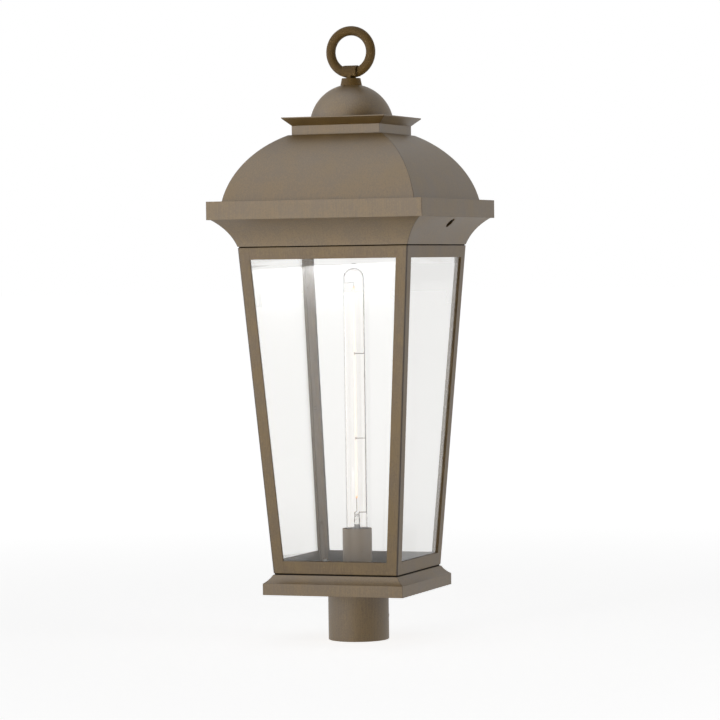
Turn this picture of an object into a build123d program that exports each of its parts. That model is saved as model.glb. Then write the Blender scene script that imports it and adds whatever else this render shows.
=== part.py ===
from build123d import *

import math
import os

# Square post top lantern: a fitter that slips over a round post, a moulded base, a tapered
# glazed cage, a sheet roof that lifts off, a domed cap with a tilting ring, and a screw-in lamp.
# Millimetres, +Z up, front towards -Y. The origin is the centre of the fitter's open lower rim.

# ---- Driving dimensions: post and fitter
POST_R = 38.1  # a standard 3 inch round post
POST_CLEARANCE = 0.5
FITTER_WALL = 2.65
FITTER_FLANGE_R = 52.0
FITTER_STOP_R = 30.0
FITTER_FLANGE_T = 4.0
FITTER_RIM_ROUND = 1.2

# ---- Driving dimensions: heights of the visible bands, from the fitter's lower rim
PLINTH_LOW = 67.3
PLINTH_HIGH = 82.6
BASE_TOP = 93.8
CAGE_LOW = 95.9
CAGE_HIGH = 533.8
EAVES_LOW = 535.3
FASCIA_LOW = 571.3
FASCIA_HIGH = 595.8
ROOF_HIGH = 684.6
COLLAR_HIGH = 697.2
CROWN_TIP = 707.0
CROWN_HIGH = 708.3
CAP_HIGH = 752.0
NECK_HIGH = 761.9
RING_AXIS_Z = 768.7

# ---- Driving dimensions: half widths of the square plan
PLINTH_W = 99.8
BASE_TOP_W = 89.0
CAGE_LOW_W = 88.6
CAGE_HIGH_W = 120.5
EAVES_TOP_W = 147.6
FASCIA_W = 152.0
ROOF_LOW_W = 136.0
ROOF_HIGH_W = 66.7
COLLAR_W = 62.9
CROWN_W = 73.8

# ---- Driving dimensions: mouldings, sheet and cage sections
BASE_COVE_R = 30.0
EAVES_COVE_R = 70.0
ROOF_ARC_R = 126.8
SHEET = 1.6
ROOF_SHEET = 2.0
BASE_WALL = 2.0
VENT_R = 8.0
VENT_Y = 2.0
LEG = 15.9  # face width of a corner post
LEG_T = 2.0
SEAM = 1.1  # rebate along the outer corner of a post
LOW_RAIL_H = 16.7
TOP_RAIL_H = 16.0
FLOOR_SET_BACK = 1.4  # of the floor pan's rim behind the cage's faces
LOW_FLANGE = 14.0
TOP_FLANGE = 10.0

# ---- Driving dimensions: glazing
GLASS_EDGE_T = 3.0
GLASS_FIELD_T = 3.8
GLASS_SIDE_IN = 10.0  # from the cage's side face to the pane's edge
GLASS_TOP = 523.9
GLASS_LAND = 5.0
GLASS_BEVEL = 9.0
RETAINER_REACH = 15.0
RETAINER_T = 1.2
RETAINER_SCREW_HEIGHTS = (150.0, 310.0, 480.0)
BOSS_HALF_H = 6.0

# ---- Driving dimensions: roof seat and its locking screws
SKIRT_W = 110.0
SKIRT_LOW = 521.0
SEAT_W = 119.1
LOCK_X = 60.0
LOCK_Z = 527.6
LOCK_R = 2.0

# ---- Driving dimensions: crown, cap and finial
CAP_R = 57.0
CAP_CENTRE_Z = 697.0
NECK_LOW_R = 14.7
NECK_HIGH_R = 12.7
RING_R = 28.75
RING_TUBE_R = 6.4
STRAP_HALF_L = 9.75
STRAP_BORE_R = 8.85
STRAP_T = 1.75
TANG_HALF_L = 3.0
TANG_DEPTH = 4.0
ROD_R = 3.0
ROD_LOW = 670.0

# ---- Driving dimensions: lampholder and lamp
COVER_R = 20.0
COVER_WALL = 1.4
COVER_HIGH = 151.3
HOLDER_R = 17.0
HOLDER_HIGH = 143.0
HOLDER_FLOOR = 112.0
SCREW_SHELL_R = 14.2
LAMP_TIP = 116.0
LAMP_BASE_R = 13.1
LAMP_BASE_HIGH = 143.0
LAMP_R = 14.5
LAMP_HIGH = 505.5
LAMP_WALL = 1.0
FILAMENT_LOW = 190.0
FILAMENT_HIGH = 482.0
FILAMENT_R = 1.1
WIRE_R = 0.35
WIRE_TURN = 20.0  # turn of the wires' plane about the lamp's axis, degrees

# ---- Driving dimensions: fasteners and running clearance
RUNNING = 0.05
HOLE_EASE = 0.1
SET_SCREW_Z = 30.0
SET_SCREW_R = 3.0
SET_SCREW_L = 6.2
SET_SCREW_ANGLES = {"right": 45.0, "left": 135.0}

# ---- Worked out from the above
FITTER_BORE_R = POST_R + POST_CLEARANCE
FITTER_R = FITTER_BORE_R + FITTER_WALL
BASE_PLATE_LOW = BASE_TOP - BASE_WALL
BASE_PLATE_W = BASE_TOP_W - 1.2
FITTER_TOP = BASE_PLATE_LOW - FITTER_FLANGE_T
CAGE_SLOPE = (CAGE_HIGH_W - CAGE_LOW_W) / (CAGE_HIGH - CAGE_LOW)
CAGE_LEAN = math.atan(CAGE_SLOPE)
FLANGE_TOP = CAGE_LOW + LEG_T
REACH = 200.0  # longer than any half width, for cutting solids
SIDES = {"front": 0, "right": 90, "rear": 180, "left": 270}
CORNERS = {"front_right": 0, "rear_right": 90, "rear_left": 180, "front_left": 270}
SIDE_SECTION = Plane(origin=(0, 0, 0), x_dir=(0, -1, 0), z_dir=(-1, 0, 0))


# ---- Shared geometry
def half_width(z):
    """Half width of the tapered cage at a height."""
    return CAGE_LOW_W + (z - CAGE_LOW) * CAGE_SLOPE


def face_of(*lines):
    """A planar face from lines that close on themselves."""
    return make_face([edge for line in lines for edge in line.edges()])


def polygon(*points):
    return make_face(Polyline(*points, close=True))


def arc_by_radius(start, end, radius):
    """An arc that bulges to the left of the way from start to end for a positive radius."""
    (x0, y0), (x1, y1) = start, end
    chord = math.hypot(x1 - x0, y1 - y0)
    sagitta = abs(radius) - math.sqrt(radius**2 - chord**2 / 4)
    shift = math.copysign(sagitta, radius) / chord
    middle = ((x0 + x1) / 2 - (y1 - y0) * shift, (y0 + y1) / 2 + (x1 - x0) * shift)
    return ThreePointArc(start, middle, end)


def disc(radius, low, high, inner=0.0):
    """An upright cylinder between two heights, bored if inner is given."""
    height = high - low
    solid = Pos(0, 0, low) * Cylinder(radius, height, align=(Align.CENTER, Align.CENTER, Align.MIN))
    if inner:
        solid -= Pos(0, 0, low - 1) * Cylinder(
            inner, height + 2, align=(Align.CENTER, Align.CENTER, Align.MIN)
        )
    return solid


def peg(place, radius, low, high):
    """A cylinder along the normal of a plane, from low to high above it."""
    return extrude(place.offset(low) * Circle(radius), high - low)


def turned(solid, degrees):
    return Rot(0, 0, degrees) * solid


def side_run(section):
    """The front run of a square moulding. Its section is (distance from the axis, height)."""
    bar = extrude(SIDE_SECTION * section, REACH, both=True)
    wedge = extrude(polygon((0, 0), (-REACH, -REACH), (REACH, -REACH)), CAP_HIGH)
    return bar & wedge


def square_ring(section):
    """All four runs of a square moulding, mitred into one piece."""
    run = side_run(section)
    ring = run
    for degrees in (90, 180, 270):
        ring += turned(run, degrees)
    return ring


def corner_prism(points, low, high):
    """A bar that leans with the cage's front right corner.

    Each point is (depth from the right face, depth from the front face).
    """
    width = half_width(low)
    section = polygon(*[(width - across, deep - width) for across, deep in points])
    rise = high - low
    lean = CAGE_SLOPE * rise
    return Solid.extrude((Pos(0, 0, low) * section).face(), Vector(lean, -lean, rise))


def between_posts(low, high):
    """The space between the two front corner posts, for trimming a rail."""
    wide_low, wide_high = half_width(low) - LEG, half_width(high) - LEG
    outline = polygon((-wide_low, low), (wide_low, low), (wide_high, high), (-wide_high, high))
    return extrude(Plane.XZ * outline, REACH)


# ---- Fitter and base
def fitter_screw_spots():
    radius = (FITTER_R + FITTER_FLANGE_R) / 2
    return PolarLocations(radius, 4, 45)


def fitter_tube():
    """The tube that slips over the post, with two tapped holes for the set screws."""
    tube = disc(FITTER_R, 0, FITTER_TOP)
    tube = fillet(tube.faces().sort_by(Axis.Z)[0].edges(), FITTER_RIM_ROUND)
    tube -= disc(FITTER_BORE_R, -1, FITTER_TOP + 1)
    for degrees in SET_SCREW_ANGLES.values():
        tube -= peg(set_screw_plane(degrees), SET_SCREW_R + RUNNING, -5, 10)
    return tube


def fitter_flange():
    """The ring welded on the tube's top, screwed to the underside of the base.

    Its inner lip stands in over the bore, and the post's end comes up against it.
    """
    flange = disc(FITTER_FLANGE_R, FITTER_TOP, BASE_PLATE_LOW, FITTER_STOP_R)
    for spot in fitter_screw_spots():
        flange -= spot * disc(2.5 + HOLE_EASE, PLINTH_LOW, BASE_TOP)
    return flange


def set_screw_plane(degrees):
    """A plane at the bore's wall whose normal points out along the set screw."""
    angle = math.radians(degrees)
    outward = (math.cos(angle), math.sin(angle), 0)
    spot = (FITTER_BORE_R * outward[0], FITTER_BORE_R * outward[1], SET_SCREW_Z)
    return Plane(origin=spot, x_dir=(0, 0, 1), z_dir=outward)


def set_screw(degrees):
    """A grub screw, drawn back until its tip is flush with the bore."""
    place = set_screw_plane(degrees)
    screw = peg(place, SET_SCREW_R, HOLE_EASE, SET_SCREW_L)
    key = extrude(place.offset(SET_SCREW_L - 2.5) * RegularPolygon(1.7, 6), 3)
    return screw - key


def fitter_screws():
    low = FITTER_TOP
    screw = disc(4.2, low - 3.0, low) + disc(2.5, low, CAGE_LOW - 0.2)
    return Compound([spot * screw for spot in fitter_screw_spots()])


def cage_screw_spots():
    across = CAGE_LOW_W - 11.5
    return GridLocations(2 * across, 2 * across, 2, 2)


def base_moulding():
    """Plinth band and cove in one thin wall, open below, with the base plate let into its top."""
    outer = arc_by_radius((BASE_TOP_W, BASE_TOP), (PLINTH_W, PLINTH_HIGH), -BASE_COVE_R)
    inner_low = (PLINTH_W - BASE_WALL, PLINTH_HIGH - 1.1)
    inner_high = (BASE_PLATE_W, BASE_PLATE_LOW)
    inner = arc_by_radius(inner_low, inner_high, BASE_COVE_R + BASE_WALL)
    return square_ring(
        face_of(
            Line((BASE_PLATE_W, BASE_TOP), (BASE_TOP_W, BASE_TOP)),
            outer,
            Polyline(
                (PLINTH_W, PLINTH_HIGH),
                (PLINTH_W, PLINTH_LOW),
                (PLINTH_W - BASE_WALL, PLINTH_LOW),
                inner_low,
            ),
            inner,
            Line(inner_high, (BASE_PLATE_W, BASE_TOP)),
        )
    )


def drilled_plate(half_side, low, high):
    """A square plate with the holes that the base plate and the floor pan share."""
    width = 2 * half_side
    plate = Pos(0, 0, low) * Box(width, width, high - low, align=(Align.CENTER, Align.CENTER, Align.MIN))
    for spot in fitter_screw_spots():
        plate -= spot * disc(2.5 + HOLE_EASE, PLINTH_LOW, CAGE_HIGH)
    for spot in cage_screw_spots():
        plate -= spot * disc(2.0 + HOLE_EASE, PLINTH_LOW, CAGE_HIGH)
    return plate - disc(NIPPLE_R + HOLE_EASE, PLINTH_LOW, CAGE_HIGH)


def base_plate():
    return drilled_plate(BASE_PLATE_W, BASE_PLATE_LOW, BASE_TOP)


def floor_pan():
    """The recessed plate between base and cage that leaves a shadow line."""
    return drilled_plate(CAGE_LOW_W - FLOOR_SET_BACK, BASE_TOP, CAGE_LOW)


def cage_screws():
    screw = disc(3.4, FLANGE_TOP, FLANGE_TOP + 2.6) + disc(2.0, BASE_TOP - 6, FLANGE_TOP)
    return Compound([spot * screw for spot in cage_screw_spots()])


# ---- Cage
BOSS_HALF_W = 4.5
WEB_NEAR = 14.6  # across plus deep on the web's outer face
WEB_FAR = WEB_NEAR + RETAINER_T * math.sqrt(2)


def corner_screw_plane(z):
    """On the inner face of the retainer's diagonal web, with its normal into the cage."""
    spot = half_width(z) - WEB_FAR / 2
    tilt = math.atan(CAGE_SLOPE * math.sqrt(2))
    flat = math.cos(tilt) / math.sqrt(2)
    inward = (-flat, flat, math.sin(tilt))
    return Plane(origin=(spot, -spot, z), x_dir=(1, 1, 0), z_dir=inward)


def corner_post():
    """An angle section with a foot, a head plate and a boss behind each retainer screw."""
    t = LEG_T
    angle = [(SEAM, 0), (LEG, 0), (LEG, t), (t, t), (t, LEG), (0, LEG), (0, SEAM), (SEAM, SEAM)]
    foot = [(t, t), (LEG, t), (LEG, LEG), (t, LEG)]
    head = [(t, t), (LEG, t), (LEG, TOP_FLANGE), (TOP_FLANGE, TOP_FLANGE), (TOP_FLANGE, LEG), (t, LEG)]
    edge = t + BOSS_HALF_W
    high, low = (WEB_NEAR + BOSS_HALF_W) / 2, (WEB_NEAR - BOSS_HALF_W) / 2
    boss = [(t, t), (edge, t), (high, low), (low, high), (t, edge)]
    post = corner_prism(angle, CAGE_LOW, CAGE_HIGH)
    post += corner_prism(foot, CAGE_LOW, FLANGE_TOP)
    post += corner_prism(head, CAGE_HIGH - t, CAGE_HIGH)
    for z in RETAINER_SCREW_HEIGHTS:
        post += corner_prism(boss, z - BOSS_HALF_H, z + BOSS_HALF_H)
        post -= peg(corner_screw_plane(z), 1.5 + RUNNING, -8.2, 0)
    across = CAGE_LOW_W - 11.5
    return post - Pos(across, -across, 0) * disc(2.0 + HOLE_EASE, BASE_TOP, FLANGE_TOP + 1)


def low_rail():
    low, high = CAGE_LOW, CAGE_LOW + LOW_RAIL_H
    section = polygon(
        (half_width(low), low),
        (half_width(high), high),
        (half_width(high) - LEG_T, high),
        (half_width(FLANGE_TOP) - LEG_T, FLANGE_TOP),
        (half_width(FLANGE_TOP) - LOW_FLANGE, FLANGE_TOP),
        (half_width(low) - LOW_FLANGE, low),
    )
    return extrude(SIDE_SECTION * section, REACH, both=True) & between_posts(low, high)


def top_rail():
    low, high, under = CAGE_HIGH - TOP_RAIL_H, CAGE_HIGH, CAGE_HIGH - LEG_T
    section = polygon(
        (half_width(low), low),
        (half_width(high), high),
        (half_width(high) - TOP_FLANGE, high),
        (half_width(under) - TOP_FLANGE, under),
        (half_width(under) - LEG_T, under),
        (half_width(low) - LEG_T, low),
    )
    return extrude(SIDE_SECTION * section, REACH, both=True) & between_posts(low, high)


def lock_screw_plane(x):
    """At the rear top rail's outer face, with its normal pointing out of the cage."""
    return Plane(origin=(x, half_width(LOCK_Z), LOCK_Z), x_dir=(1, 0, 0), z_dir=(0, 1, 0))


def rear_top_rail():
    """The rear rail also carries the two bosses that the roof's locking screws turn in."""
    rail = turned(top_rail(), SIDES["rear"])
    for x in (-LOCK_X, LOCK_X):
        rail += peg(lock_screw_plane(x), 3.3, -6.5, -LEG_T / 2)
        rail -= peg(lock_screw_plane(x), LOCK_R + RUNNING, -12, 5)
    return rail


def lock_screw(x):
    """A thumb screw whose tip bears on the roof's skirt."""
    place = lock_screw_plane(x)
    tip = SKIRT_W + RUNNING - half_width(LOCK_Z)
    screw = peg(place, LOCK_R, tip, 1.0)
    screw += peg(place, 4.4, 0.6, 4.2)
    slot = Pos(x, half_width(LOCK_Z) + 4.2, LOCK_Z) * Box(1.2, 2.0, 9.5)
    return screw - slot


def glass_pane():
    """A bevelled pane that leans with the front face, its flat land under the frame."""
    low, high = FLANGE_TOP, GLASS_TOP
    lean = Plane(
        origin=(0, LEG_T - half_width(low), low),
        x_dir=(-1, 0, 0),
        z_dir=(0, math.cos(CAGE_LEAN), math.sin(CAGE_LEAN)),
    )
    slant = (high - low) / math.cos(CAGE_LEAN)
    wide_low, wide_high = half_width(low) - GLASS_SIDE_IN, half_width(high) - GLASS_SIDE_IN
    outline = polygon((-wide_low, 0), (wide_low, 0), (wide_high, slant), (-wide_high, slant))
    edge_t = GLASS_EDGE_T * math.cos(CAGE_LEAN)
    pane = extrude(lean * outline, edge_t)
    foot_of_bevel = offset(outline, -GLASS_LAND, kind=Kind.INTERSECTION)
    field = offset(outline, -GLASS_LAND - GLASS_BEVEL, kind=Kind.INTERSECTION)
    raised = loft([lean.offset(edge_t) * foot_of_bevel, lean.offset(GLASS_FIELD_T) * field], ruled=True)
    return pane + raised


def glass_retainer():
    """An inner angle with a diagonal web, which holds two panes in one corner."""
    inner = LEG_T + GLASS_EDGE_T
    bend = WEB_NEAR - inner
    near, deep = inner + RETAINER_T, WEB_FAR - inner - RETAINER_T
    section = [
        (RETAINER_REACH, inner),
        (bend, inner),
        (inner, bend),
        (inner, RETAINER_REACH),
        (near, RETAINER_REACH),
        (near, deep),
        (deep, near),
        (RETAINER_REACH, near),
    ]
    strip = corner_prism(section, FLANGE_TOP, GLASS_TOP)
    for z in RETAINER_SCREW_HEIGHTS:
        strip -= peg(corner_screw_plane(z), 1.5 + RUNNING, -3, 1)
    return strip


def glass_retainer_screws():
    screws = []
    for z in RETAINER_SCREW_HEIGHTS:
        place = corner_screw_plane(z)
        screw = peg(place, 1.5, -7.2, 0) + peg(place, 2.6, 0, 1.8)
        screws += [turned(screw, degrees) for degrees in CORNERS.values()]
    return Compound(screws)


# ---- Lampholder
NIPPLE_R = 4.85
NIPPLE_LOW = FITTER_TOP + 0.2  # inside the flange's lip, clear of the post's end
NIPPLE_NUT_T = 3.5
TONGUE_T = 0.5


def socket_cover():
    return disc(COVER_R, CAGE_LOW, COVER_HIGH, COVER_R - COVER_WALL)


def lampholder_body():
    body = disc(HOLDER_R, CAGE_LOW, HOLDER_HIGH)
    body -= disc(SCREW_SHELL_R + HOLE_EASE, HOLDER_FLOOR, HOLDER_HIGH + 1)
    return body - disc(NIPPLE_R + HOLE_EASE, CAGE_LOW - 1, HOLDER_FLOOR + 1)


def lampholder_shell():
    return disc(SCREW_SHELL_R, HOLDER_FLOOR, HOLDER_HIGH - 2, SCREW_SHELL_R - 0.5)


def lampholder_contact():
    """A sprung tongue that rises from the holder's floor to the lamp's tip."""
    foot, top = HOLDER_FLOOR + TONGUE_T / 2, LAMP_TIP - TONGUE_T / 2
    path = Polyline((-11, foot), (-6, foot), (-1.5, top), (3, top), (5, top - 1.2))
    return extrude(Plane.XZ * trace(path, TONGUE_T), 3, both=True)


def socket_nipple():
    """The hollow threaded rod that holds the lampholder down and lets the wires up."""
    return disc(NIPPLE_R, NIPPLE_LOW, HOLDER_FLOOR - 4, NIPPLE_R - 1.45)


def nipple_nut():
    """The thin nut under the base plate that clamps base, floor pan and lampholder together."""
    low = BASE_PLATE_LOW - NIPPLE_NUT_T
    nut = extrude(Pos(0, 0, low) * RegularPolygon(7, 6, major_radius=False), NIPPLE_NUT_T)
    return nut - disc(NIPPLE_R + HOLE_EASE, low - 1, BASE_TOP)


# ---- Lamp
INSULATOR_LOW = LAMP_TIP + 2.5
INSULATOR_HIGH = INSULATOR_LOW + 4.0
NECK_OF_LAMP_R = 12.5
NECK_OF_LAMP_LOW = 128.0
SHOULDER_HIGH = 149.0
STEM_HIGH = 165.0


def revolved(*lines):
    """A turned piece from a closed outline of (radius, height)."""
    return revolve(Plane.XZ * face_of(*lines), Axis.Z)


def lamp_tip():
    low, high = LAMP_TIP, INSULATOR_LOW
    return revolved(Polyline((0, low), (2.6, low), (4.8, low + 1.2), (4.8, high), (0, high), close=True))


def lamp_insulator():
    low, high, wide = INSULATOR_LOW, INSULATOR_HIGH, LAMP_BASE_R - 0.5
    return revolved(Polyline((0, low), (6.5, low), (wide, high), (0, high), close=True))


def lamp_base_shell():
    cup = disc(LAMP_BASE_R, INSULATOR_HIGH, LAMP_BASE_HIGH)
    cup -= disc(LAMP_BASE_R - 0.4, INSULATOR_HIGH + 0.5, LAMP_BASE_HIGH + 1)
    return cup - disc(9.0, INSULATOR_HIGH - 1, LAMP_BASE_HIGH)


def lamp_glass():
    """A long clear tube with a round end, necked to sit in the base shell."""
    dome_low = LAMP_HIGH - LAMP_R
    inner = LAMP_R - LAMP_WALL
    turn = math.sqrt(0.5)
    return revolved(
        Polyline(
            (NECK_OF_LAMP_R - LAMP_WALL, NECK_OF_LAMP_LOW),
            (NECK_OF_LAMP_R, NECK_OF_LAMP_LOW),
            (NECK_OF_LAMP_R, LAMP_BASE_HIGH),
            (LAMP_BASE_R, LAMP_BASE_HIGH),
            (LAMP_R, SHOULDER_HIGH),
            (LAMP_R, dome_low),
        ),
        ThreePointArc((LAMP_R, dome_low), (LAMP_R * turn, dome_low + LAMP_R * turn), (0, LAMP_HIGH)),
        Line((0, LAMP_HIGH), (0, LAMP_HIGH - LAMP_WALL)),
        ThreePointArc((0, LAMP_HIGH - LAMP_WALL), (inner * turn, dome_low + inner * turn), (inner, dome_low)),
        Polyline(
            (inner, dome_low),
            (inner, SHOULDER_HIGH + 0.4),
            (NECK_OF_LAMP_R - LAMP_WALL, LAMP_BASE_HIGH + 0.4),
            (NECK_OF_LAMP_R - LAMP_WALL, NECK_OF_LAMP_LOW),
        ),
    )


def lamp_stem():
    """The pressed glass stem that carries the wires."""
    low = NECK_OF_LAMP_LOW - 2
    return revolved(
        Polyline(
            (0, low),
            (NECK_OF_LAMP_R, low),
            (NECK_OF_LAMP_R, NECK_OF_LAMP_LOW),
            (NECK_OF_LAMP_R - LAMP_WALL - 0.1, NECK_OF_LAMP_LOW),
            (6.5, NECK_OF_LAMP_LOW + 3),
            (4.2, STEM_HIGH - 12),
            (4.2, STEM_HIGH),
            (0, STEM_HIGH),
            close=True,
        )
    )


def lamp_filaments():
    """Three coated rods in line, each held between two wires."""
    length = (FILAMENT_HIGH - FILAMENT_LOW) / 3
    gap = 0.8
    rods = []
    for index in range(3):
        low = FILAMENT_LOW + index * length
        rods.append(disc(FILAMENT_R, low + gap, low + length - gap))
    return Compound(rods)


def lamp_wires():
    """The wire over the dome, the short wire at the stem and the two bridges."""
    side = LAMP_R - LAMP_WALL - WIRE_R - 0.25
    dome_low = LAMP_HIGH - LAMP_R
    jog = STEM_HIGH + 8
    hook = FILAMENT_HIGH + 3
    rise = FilletPolyline((3, STEM_HIGH), (3, jog), (side, jog), (side, dome_low), radius=1)
    over = ThreePointArc((side, dome_low), (0, dome_low + side), (-side, dome_low))
    fall = FilletPolyline((-side, dome_low), (-side, hook), (0, hook), (0, FILAMENT_HIGH), radius=2)
    short = FilletPolyline((-3, STEM_HIGH), (-3, jog), (0, jog), (0, FILAMENT_LOW), radius=1)
    wires = wire_along(rise, over, fall) + wire_along(short)
    third = (FILAMENT_HIGH - FILAMENT_LOW) / 3
    for bridge in (FILAMENT_LOW + third, FILAMENT_LOW + 2 * third):
        wires += wire_along(Line((0, bridge), (side, bridge)))
    return turned(wires, WIRE_TURN)


def wire_along(*lines):
    path = Wire([Plane.XZ * edge for line in lines for edge in line.edges()])
    section = Plane(origin=path @ 0, z_dir=path % 0) * Circle(WIRE_R)
    return sweep(section, path)


# ---- Roof
def cornice():
    """Seat flange, cove, ledge, fascia and top ledge, bent from one sheet."""
    cove = arc_by_radius((CAGE_HIGH_W, EAVES_LOW), (EAVES_TOP_W, FASCIA_LOW), EAVES_COVE_R)
    back_low = (CAGE_HIGH_W - 1.1, EAVES_LOW + SHEET)
    back_high = (EAVES_TOP_W - 0.5, FASCIA_LOW + SHEET)
    back = arc_by_radius(back_high, back_low, -EAVES_COVE_R - SHEET)
    inner = FASCIA_W - SHEET
    ledge = ROOF_LOW_W - 8
    return side_run(
        face_of(
            Line((SKIRT_W - SHEET, EAVES_LOW), (CAGE_HIGH_W, EAVES_LOW)),
            cove,
            Polyline(
                (EAVES_TOP_W, FASCIA_LOW),
                (FASCIA_W, FASCIA_LOW),
                (FASCIA_W, FASCIA_HIGH),
                (ledge, FASCIA_HIGH),
                (ledge, FASCIA_HIGH - SHEET),
                (inner, FASCIA_HIGH - SHEET),
                (inner, FASCIA_LOW + SHEET),
                back_high,
            ),
            back,
            Polyline(
                back_low,
                (SKIRT_W - SHEET, EAVES_LOW + SHEET),
                (SKIRT_W - SHEET, EAVES_LOW),
            ),
        )
    )


def vented_cornice():
    """The right-hand run, with the round vent in its cove."""
    middle = (CAGE_HIGH_W + EAVES_TOP_W) / 2
    place = Plane(origin=(139.0, VENT_Y, 563.7), x_dir=(0, 1, 0), z_dir=(0.69, 0, -0.725))
    return turned(cornice(), SIDES["right"]) - peg(place, VENT_R, -6, middle)


def roof_panel():
    """One of four curved panels that meet at mitred hips."""
    low, high = (ROOF_LOW_W, FASCIA_HIGH), (ROOF_HIGH_W, ROOF_HIGH)
    in_low = (ROOF_LOW_W - ROOF_SHEET, FASCIA_HIGH)
    in_high = (ROOF_HIGH_W - 1.1, ROOF_HIGH - ROOF_SHEET)
    flange = COLLAR_W - 11
    return side_run(
        face_of(
            arc_by_radius(low, high, -ROOF_ARC_R),
            Polyline(high, (flange, ROOF_HIGH), (flange, ROOF_HIGH - ROOF_SHEET), in_high),
            arc_by_radius(in_high, in_low, ROOF_ARC_R - ROOF_SHEET),
            Line(in_low, low),
        )
    )


def roof_skirt():
    """The locating wall inside the cage and the seat that leaves a shadow line."""
    inner = SKIRT_W - SHEET
    return square_ring(
        polygon(
            (inner, SKIRT_LOW),
            (SKIRT_W, SKIRT_LOW),
            (SKIRT_W, CAGE_HIGH),
            (SEAT_W, CAGE_HIGH),
            (SEAT_W, EAVES_LOW),
            (inner, EAVES_LOW),
        )
    )


# ---- Crown, cap and finial
def crown_collar():
    inner = COLLAR_W - SHEET
    return square_ring(
        polygon((inner, ROOF_HIGH), (COLLAR_W, ROOF_HIGH), (COLLAR_W, COLLAR_HIGH), (inner, COLLAR_HIGH))
    )


def crown_eave():
    """A splayed tray, upside up, whose rim stands out past the collar."""
    inner, thin = COLLAR_W - SHEET, CROWN_HIGH - CROWN_TIP
    tray = square_ring(
        polygon(
            (inner, COLLAR_HIGH),
            (COLLAR_W, COLLAR_HIGH),
            (CROWN_W, CROWN_TIP),
            (CROWN_W, CROWN_HIGH),
            (0, CROWN_HIGH),
            (0, CROWN_HIGH - thin),
            (CROWN_W - 2 * thin, CROWN_HIGH - thin),
            (inner, COLLAR_HIGH + 0.6),
        )
    )
    return tray - disc(ROD_R + HOLE_EASE, ROOF_HIGH, CAP_HIGH)


def crown_crossbar():
    low = ROOF_HIGH - 2 * ROOF_SHEET
    bar = Pos(0, 0, low) * Box(120, 24, ROOF_SHEET, align=(Align.CENTER, Align.CENTER, Align.MIN))
    return bar - disc(ROD_R + HOLE_EASE, ROD_LOW, ROOF_HIGH)


def sphere_radius_at(z, radius):
    return math.sqrt(radius**2 - (z - CAP_CENTRE_Z) ** 2)


def cap_dome():
    inner = CAP_R - SHEET
    under = CAP_HIGH - SHEET
    rim, flat = sphere_radius_at(CROWN_HIGH, CAP_R), sphere_radius_at(CAP_HIGH, CAP_R)
    in_rim, in_flat = sphere_radius_at(CROWN_HIGH, inner), sphere_radius_at(under, inner)
    hole = ROD_R + HOLE_EASE
    return revolved(
        arc_by_radius((rim, CROWN_HIGH), (flat, CAP_HIGH), -CAP_R),
        Polyline((flat, CAP_HIGH), (hole, CAP_HIGH), (hole, under), (in_flat, under)),
        arc_by_radius((in_flat, under), (in_rim, CROWN_HIGH), inner),
        Line((in_rim, CROWN_HIGH), (rim, CROWN_HIGH)),
    )


def strap_section(half_length, low):
    """The strap's arch about the ring's axis with straight legs down to a height."""
    arch_out = STRAP_BORE_R + STRAP_T
    place = Pos(0, 0, RING_AXIS_Z) * Rot(0, 90, 0)
    outer = place * Cylinder(arch_out, 2 * half_length)
    outer += Pos(0, 0, RING_AXIS_Z) * Box(
        2 * half_length, 2 * arch_out, RING_AXIS_Z - low, align=(Align.CENTER, Align.CENTER, Align.MAX)
    )
    inner = place * Cylinder(STRAP_BORE_R, 2 * half_length + 2)
    inner += Pos(0, 0, RING_AXIS_Z) * Box(
        2 * half_length + 2, 2 * STRAP_BORE_R, 40, align=(Align.CENTER, Align.CENTER, Align.MAX)
    )
    trim = Pos(0, 0, low) * Box(60, 60, 40, align=(Align.CENTER, Align.CENTER, Align.MIN))
    return (outer - inner) & trim


def finial_strap():
    return strap_section(STRAP_HALF_L, NECK_HIGH + 2.9) + strap_section(TANG_HALF_L, NECK_HIGH - TANG_DEPTH)


def finial_neck():
    low = CAP_HIGH
    neck = revolved(
        Polyline((0, low), (NECK_LOW_R, low), (NECK_HIGH_R, NECK_HIGH), (0, NECK_HIGH), close=True)
    )
    neck -= strap_section(TANG_HALF_L, NECK_HIGH - TANG_DEPTH)
    return neck - disc(ROD_R + HOLE_EASE, low - 1, NECK_HIGH - 4.9)


def finial_rod():
    return disc(ROD_R, ROD_LOW, NECK_HIGH - 4.9)


def finial_nut():
    washer_t = 1.0
    high = ROOF_HIGH - 2 * ROOF_SHEET
    nut = extrude(Pos(0, 0, high - washer_t - 5) * RegularPolygon(5, 6, major_radius=False), 5)
    nut += disc(8.0, high - washer_t, high)
    return nut - disc(ROD_R + HOLE_EASE, ROD_LOW, ROOF_HIGH)


def finial_ring():
    return Pos(0, 0, RING_AXIS_Z + RING_R) * Rot(90, 0, 0) * Torus(RING_R, RING_TUBE_R)


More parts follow.
